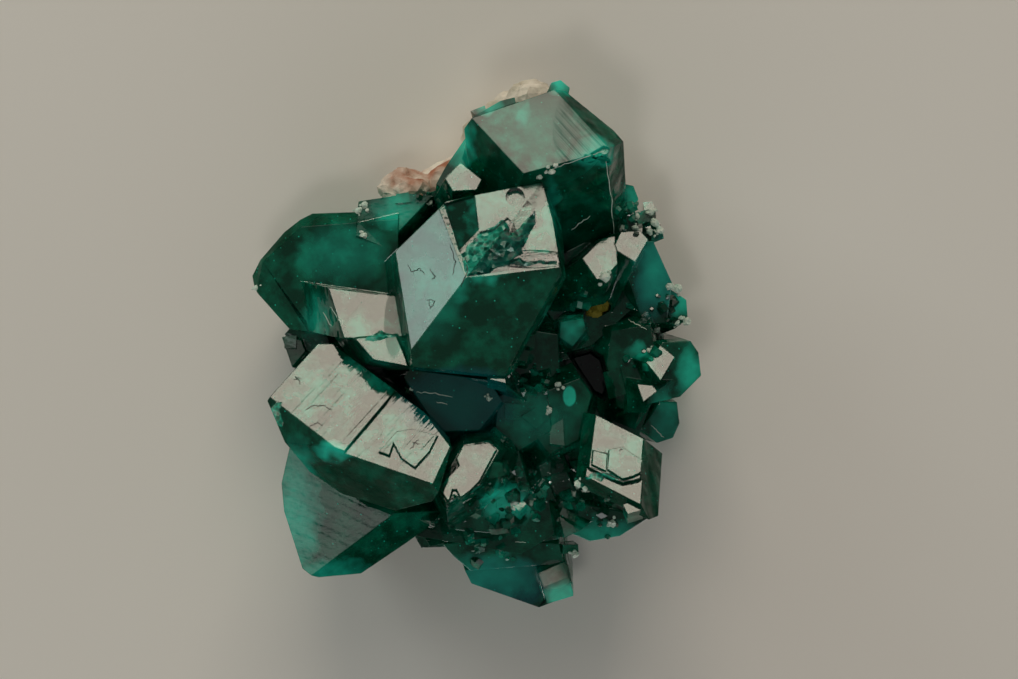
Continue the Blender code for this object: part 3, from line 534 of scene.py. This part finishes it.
def strips(name, lines, width, surface):
    """Flat strips along lines in plan, width wide, each end and bend of it laid on the crystals.

    Along a line the width is multiplied by the square root of the sine of an angle that runs from
    0.25 to pi - 0.25, so both ends are narrow.
    """
    points, sides = [], []
    for line in lines:
        line = np.array(line, float)
        steps = np.linspace(0, len(line) - 1, STEPS * (len(line) - 1) + 1)
        path = np.stack([np.interp(steps, np.arange(len(line)), line[:, i]) for i in (0, 1)], axis=1)
        path += chance.normal(0, STRAY, path.shape)
        along = np.gradient(path, axis=0)
        across = np.stack([-along[:, 1], along[:, 0]], axis=1)
        across *= width / 2 / np.linalg.norm(across, axis=1)[:, None]
        taper = np.sin(np.linspace(0.25, math.pi - 0.25, len(path)))[:, None] ** 0.5
        edges = np.concatenate([path - across * taper, path + across * taper])
        heights = top_of(edges[:, 0] * MM, edges[:, 1] * MM)
        start = sum(len(block) for block in points)
        upper = np.column_stack([edges * MM, heights + LIFT * MM])
        lower = np.column_stack([edges * MM, heights - LIFT * MM])
        points.append(np.concatenate([upper, lower]))
        n = len(path)
        for i in range(n - 1):
            a, b = start + i, start + i + 1
            sides += [(a, b, b + n, a + n), (a + 2 * n, a + 3 * n, b + 3 * n, b + 2 * n),
                      (a, a + 2 * n, b + 2 * n, b), (a + n, b + n, b + 3 * n, a + 3 * n)]
        sides += [(start, start + n, start + 3 * n, start + 2 * n),
                  (start + n - 1, start + 3 * n - 1, start + 4 * n - 1, start + 2 * n - 1)]
    make(name, np.concatenate(points), sides, surface)


DARK_LINES = (((-13.7, -2.3), (-13.4, -2.6), (-13.3, -3.0)), ((-13.8, -2.6), (-13.2, -2.5)),
              ((-5.0, -7.8), (-4.7, -7.3), (-4.5, -7.0)), ((-4.9, -7.2), (-4.4, -7.4)),
              ((-12.9, -4.9), (-12.3, -4.5), (-11.6, -4.5), (-10.9, -4.9)),
              ((-12.6, -6.1), (-12.0, -5.8), (-11.6, -6.0)),
              ((-5.3, 6.0), (-4.9, 5.5), (-4.3, 5.7), (-4.0, 5.3)), ((-3.6, 5.7), (-3.2, 5.1), (-3.4, 4.9)),
              ((-3.7, 3.4), (-3.2, 3.3), (-3.5, 2.7), (-3.7, 3.4)), ((-2.1, 7.5), (-1.7, 6.2), (-1.9, 5.2)),
              ((-0.9, 6.6), (-0.8, 5.4), (-1.3, 4.3)), ((9.4, -8.0), (9.7, -8.1)),
              ((10.5, -7.9), (10.8, -7.8)), ((8.5, -9.1), (9.6, -9.6), (10.8, -10.2), (12.3, -9.9)))
# Painted highlights along edges, and scratched lines, drawn as white strips
WHITE_LINES = (((-4.7, -3.5), (-3.4, -3.6), (-1.9, -3.9)), ((-3.1, -4.3), (-2.3, -4.4)),
               ((7.0, 8.6), (7.7, 9.2), (8.4, 9.7)), ((9.6, 13.8), (10.0, 10.8), (10.2, 8.4)),
               ((5.6, 13.2), (7.4, 13.8), (9.4, 14.5)), ((11.3, 1.9), (12.0, 1.5), (12.7, 1.1)),
               ((13.0, -6.0), (13.6, -6.6), (14.0, -7.0)), ((-11.1, 2.9), (-10.4, 1.9), (-9.9, 1.4)),
               ((-11.6, 2.4), (-11.0, 1.4)), ((2.8, -14.8), (3.5, -14.9)), ((-0.5, -15.5), (0.1, -15.6)))
open_crack = bpy.data.materials.new("open_crack")
open_crack.use_nodes = True
finish = open_crack.node_tree.nodes["Principled BSDF"].inputs
finish["Base Color"].default_value = linear("#03241b")
finish["Roughness"].default_value = 0.5
strips("cracks", DARK_LINES, CRACK_WIDTH, open_crack)
strips("scratches_and_edge_glints", WHITE_LINES, GLINT_AND_SCRATCH_WIDTH, sugary_calcite_and_glints)

# The remnant of the rock: granular calcite, cream to pink, dull and uneven where it broke, with a
# tongue that iron has stained ochre. It is what the crystals grew on.
PINK = ((-4.6, 13.0, 4.0, 1.9, 1.0),)
STAINED = ((8.8, 3.0, 2.6, 2.6, 1.0),)
# The rock's coarse grains are this wide, its fine ones less by FINER, and this is how far each kind
# moves the surface, in mm
ROCK_GRAIN = 0.7
FINER = 2.3
COARSE_RELIEF = 0.14
FINE_RELIEF = 0.08
# Four lumps of the tongue: middle and radius in mm
TONGUE = ((8.7, 3.6, 8.7, 0.6), (9.3, 3.0, 8.7, 0.6), (8.9, 2.6, 8.6, 0.5), (8.4, 2.4, 8.5, 0.4))

# Its patches are about 2 mm across, and its grit half a millimetre
granular_calcite = bpy.data.materials.new("granular_calcite")
granular_calcite.use_nodes = True
tree = granular_calcite.node_tree
tree.nodes.clear()
place = add(tree, "ShaderNodeTexCoord").outputs["Object"]
patches = add(tree, "ShaderNodeTexNoise", {"Vector": place, "Scale": 450.0, "Detail": 5.0}).outputs["Fac"]
patches = add(tree, "ShaderNodeMapRange", {"Value": patches, "From Min": 0.38,
                                           "From Max": 0.62}).outputs["Result"]
dull = add(tree, "ShaderNodeMix", {"Factor": zones(tree, place, PINK, 0.5), 6: linear("#c4bba6"),
                                   7: linear("#ad6f52")}, data_type="RGBA").outputs[2]
rock_colour = add(tree, "ShaderNodeMix", {"Factor": patches, 6: dull, 7: linear("#eee4d4")},
                  data_type="RGBA").outputs[2]
rock_colour = add(tree, "ShaderNodeMix", {"Factor": zones(tree, place, STAINED, 0.4), 6: rock_colour,
                                          7: linear("#8f8526")}, data_type="RGBA").outputs[2]
grit = add(tree, "ShaderNodeTexNoise", {"Vector": place, "Scale": 2200.0, "Detail": 4.0}).outputs["Fac"]
grit = add(tree, "ShaderNodeBump", {"Height": grit, "Strength": 0.7,
                                    "Distance": 0.15 * MM}).outputs["Normal"]
surface = add(tree, "ShaderNodeBsdfPrincipled", {"Base Color": rock_colour, "Roughness": 0.75,
                                                 "Normal": grit})
add(tree, "ShaderNodeOutputMaterial", {"Surface": surface.outputs[0]})


def lattice(points, cell, seed):
    """Smooth noise from -1 to 1: random values on a lattice of cells, blended between its corners.

    A corner's weight is the product, over x, y and z, of 3 s squared - 2 s cubed, where s is how near
    the point is to it, as a share of the cell.
    """
    cells = 32
    values = np.random.default_rng(seed).uniform(-1, 1, (cells, cells, cells))
    scaled = points / cell
    low = np.floor(scaled).astype(int)
    share = scaled - low
    share = share * share * (3 - 2 * share)
    result = np.zeros(len(points))
    for corner in np.ndindex(2, 2, 2):
        weight = np.prod(np.where(corner, share, 1 - share), axis=1)
        result += weight * values[tuple(((low + corner) % cells).T)]
    return result


# The solid's lumps are cut finer, and their corners move out and in by two sizes of grain, but not
# where the rock is cut flat at the back
shape = bmesh.new()
shape.from_mesh(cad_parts["calcite_matrix"].data)
bmesh.ops.remove_doubles(shape, verts=shape.verts, dist=0.001 * MM)
bmesh.ops.subdivide_edges(shape, edges=shape.edges, cuts=2, use_grid_fill=True)
bmesh.ops.triangulate(shape, faces=shape.faces)
shape.normal_update()
spots = np.array([corner.co for corner in shape.verts])
lean = np.array([corner.normal for corner in shape.verts])
relief = (COARSE_RELIEF * lattice(spots, ROCK_GRAIN * MM, 3)
          + FINE_RELIEF * lattice(spots, ROCK_GRAIN * MM / FINER, 5) - FINE_RELIEF)
relief *= np.clip((spots[:, 2] / MM - 0.1) / 0.6, 0, 1)
spots += lean * relief[:, None] * MM
mesh = bpy.data.meshes.new("rock")
shape.to_mesh(mesh)
shape.free()
mesh.vertices.foreach_set("co", spots.ravel())
mesh.update()
mesh.materials.clear()
mesh.materials.append(granular_calcite)
rock = bpy.data.objects.new("rock", mesh)
bpy.context.scene.collection.objects.link(rock)
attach(rock, "root")
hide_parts("calcite_matrix")
tongue = np.array(TONGUE) * MM
lumps("ochre_tongue", tongue[:, :3], tongue[:, 3], granular_calcite)

# The floor: a sheet of pale, matt paper, so wide that no view shows its edge. The cluster lies on it
# with its cut back.
FLOOR_WIDTH = 6.0
pale_paper = bpy.data.materials.new("pale_paper")
pale_paper.use_nodes = True
finish = pale_paper.node_tree.nodes["Principled BSDF"].inputs
finish["Base Color"].default_value = linear("#ebe7e0")
finish["Roughness"].default_value = 0.9
bpy.ops.mesh.primitive_plane_add(size=FLOOR_WIDTH, location=(0, 0, 0))
floor = bpy.context.object
floor.name = "floor"
floor.data.materials.append(pale_paper)

# The studio light: soft boxes, each in the direction in which the faces that shine reflect it, and
# fills at the front and the right. They look at a point this many mm above the floor.
MIDDLE_HEIGHT = 12


def soft_box(name, azimuth, elevation, distance, width, height, strength, colour):
    """An area light of a given radiance, which looks at the cluster from its azimuth and elevation.

    Its power is radiance times pi times its area, and its sizes and distance are in metres.
    """
    light = bpy.data.lights.new(name, "AREA")
    light.shape = "RECTANGLE"
    light.size, light.size_y = width, height
    light.energy = strength * math.pi * width * height
    light.color = linear(colour)[:3]
    thing = bpy.data.objects.new(name, light)
    a, e = math.radians(azimuth), math.radians(elevation)
    thing.location = (distance * math.cos(e) * math.cos(a), distance * math.cos(e) * math.sin(a),
                      distance * math.sin(e) + MIDDLE_HEIGHT * MM)
    thing.rotation_euler = (math.pi / 2 - e, 0, a + math.pi / 2)
    bpy.context.scene.collection.objects.link(thing)


soft_box("warm_key", 92, 34, 0.6, 0.36, 0.20, 4.5, "#fff0dc")
soft_box("cool_side", 140, 22, 0.6, 0.24, 0.20, 4.0, "#e2eee8")
soft_box("low_side", 150, 50, 0.6, 0.12, 0.08, 0.65, "#e2eee8")
soft_box("front_fill", 268, 18, 0.9, 1.2, 0.30, 1.7, "#ffffff")
soft_box("right_fill", 0, 16, 0.9, 0.8, 0.30, 0.5, "#ffffff")
soft_box("dim_panel", 100, 46, 0.75, 1.0, 0.50, 0.45, "#eef0e2")
# A small lamp where no face mirrors it into the camera: it only lights the bodies and the floor
soft_box("top_lamp", 250, 70, 0.8, 0.14, 0.14, 9.0, "#fffaf2")
world = bpy.data.worlds.new("studio")
bpy.context.scene.world = world
world.use_nodes = True
world.node_tree.nodes["Background"].inputs["Color"].default_value = (1, 1, 1, 1)
world.node_tree.nodes["Background"].inputs["Strength"].default_value = 0.08
bpy.context.scene.view_settings.view_transform = "Standard"

# The camera looks straight down from far away, as the photograph was taken. FRAME_WIDTH is what its
# picture shows across at the height at which the lights look, and MIDDLE is its middle in mm.
FRAME_WIDTH = 76.35 * MM
FAR = 1.2
SENSOR = 36.0
MIDDLE = (2.325, 0.41)
camera_data = bpy.data.cameras.new("camera")
camera_data.sensor_width = SENSOR
camera_data.lens = SENSOR * FAR / FRAME_WIDTH
camera = bpy.data.objects.new("camera", camera_data)
camera.location = (MIDDLE[0] * MM, MIDDLE[1] * MM, FAR + MIDDLE_HEIGHT * MM)
bpy.context.scene.collection.objects.link(camera)
bpy.context.scene.camera = camera
